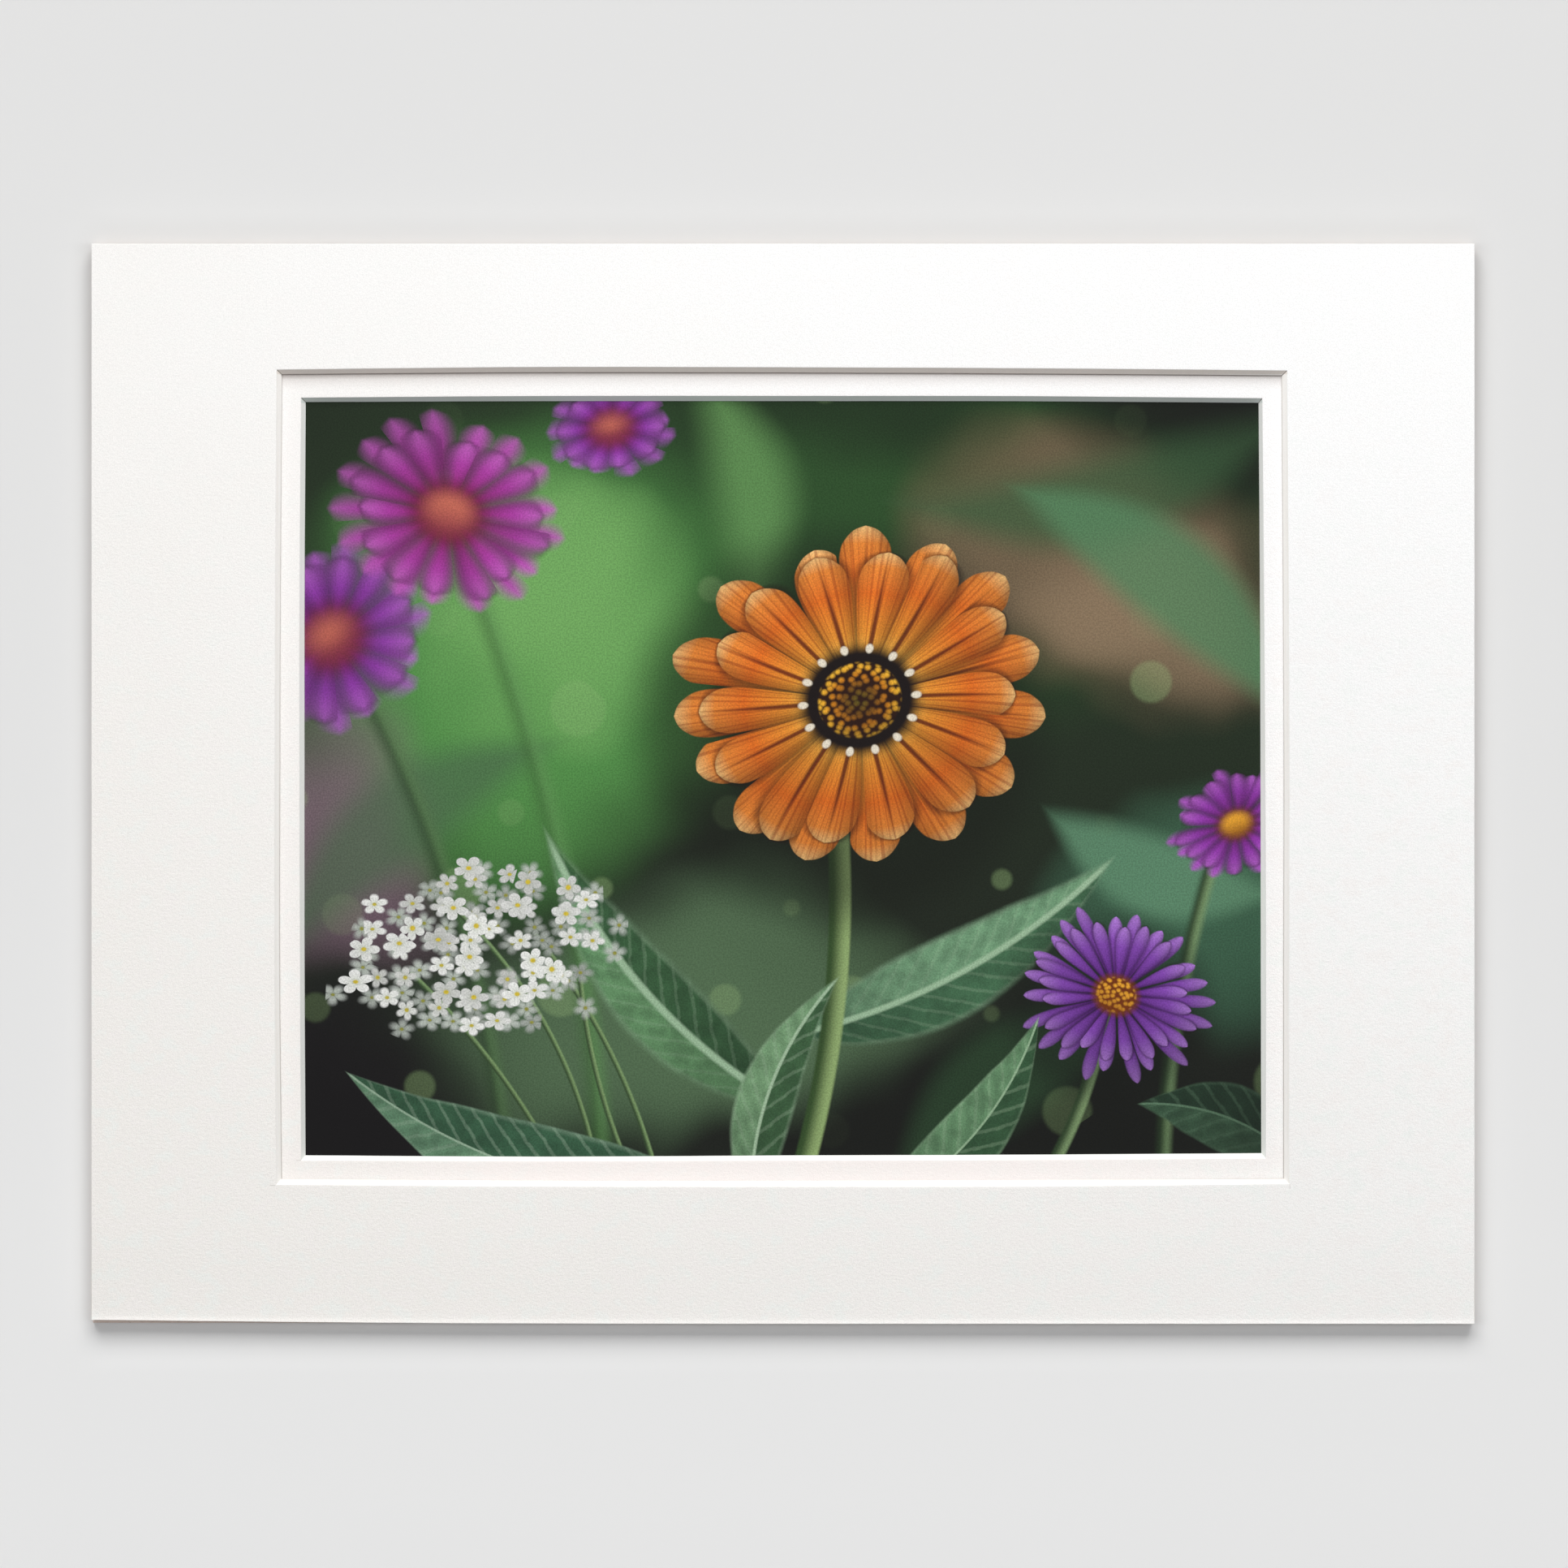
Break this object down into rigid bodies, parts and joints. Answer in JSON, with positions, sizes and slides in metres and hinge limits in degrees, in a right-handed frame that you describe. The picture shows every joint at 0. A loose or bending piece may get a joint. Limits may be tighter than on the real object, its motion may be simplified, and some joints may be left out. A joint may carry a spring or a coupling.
{
  "type": "double-matted photo print",
  "caption": "Rectangular photo print behind stacked window mats with bevelled openings, on a flat backing board, ready to frame.",
  "frame": {"origin": "centre of the outline, on the plane of the backing board's back face that it rests on", "axes": "+Z out of the picture, +X to the picture's right, +Y to the picture's top; it lies on its back"},
  "size_m": [0.3556, 0.2778, 0.0051],
  "materials": {
    "mat_face": "warm white mat board with a fine vellum face and a white bevelled core",
    "mat_inner": "warm white mat board with a fine vellum face and a white bevelled core",
    "print": "lustre photo paper with a soft floral picture in greens, violet and orange",
    "board": "tan solid greyboard, matt, with fine fibres",
    "tape": "thin double-sided adhesive tape",
    "foam_tape": "thin foam-cored double-sided tape",
    "hinge_paper": "gummed paper hinging tape"
  },
  "bodies": {
    "root": {"top_mat": "mat_face", "bottom_mat": "mat_inner", "photo_print": "print", "backing_board": "board", "mat_tape_top": "tape", "mat_tape_bottom": "tape", "mat_tape_left": "tape", "mat_tape_right": "tape", "board_tape_top": "foam_tape", "board_tape_bottom": "foam_tape", "hinge_tab_left": "hinge_paper", "hinge_tab_right": "hinge_paper", "hinge_strip_left": "hinge_paper", "hinge_strip_right": "hinge_paper"}
  },
  "joints": []
}
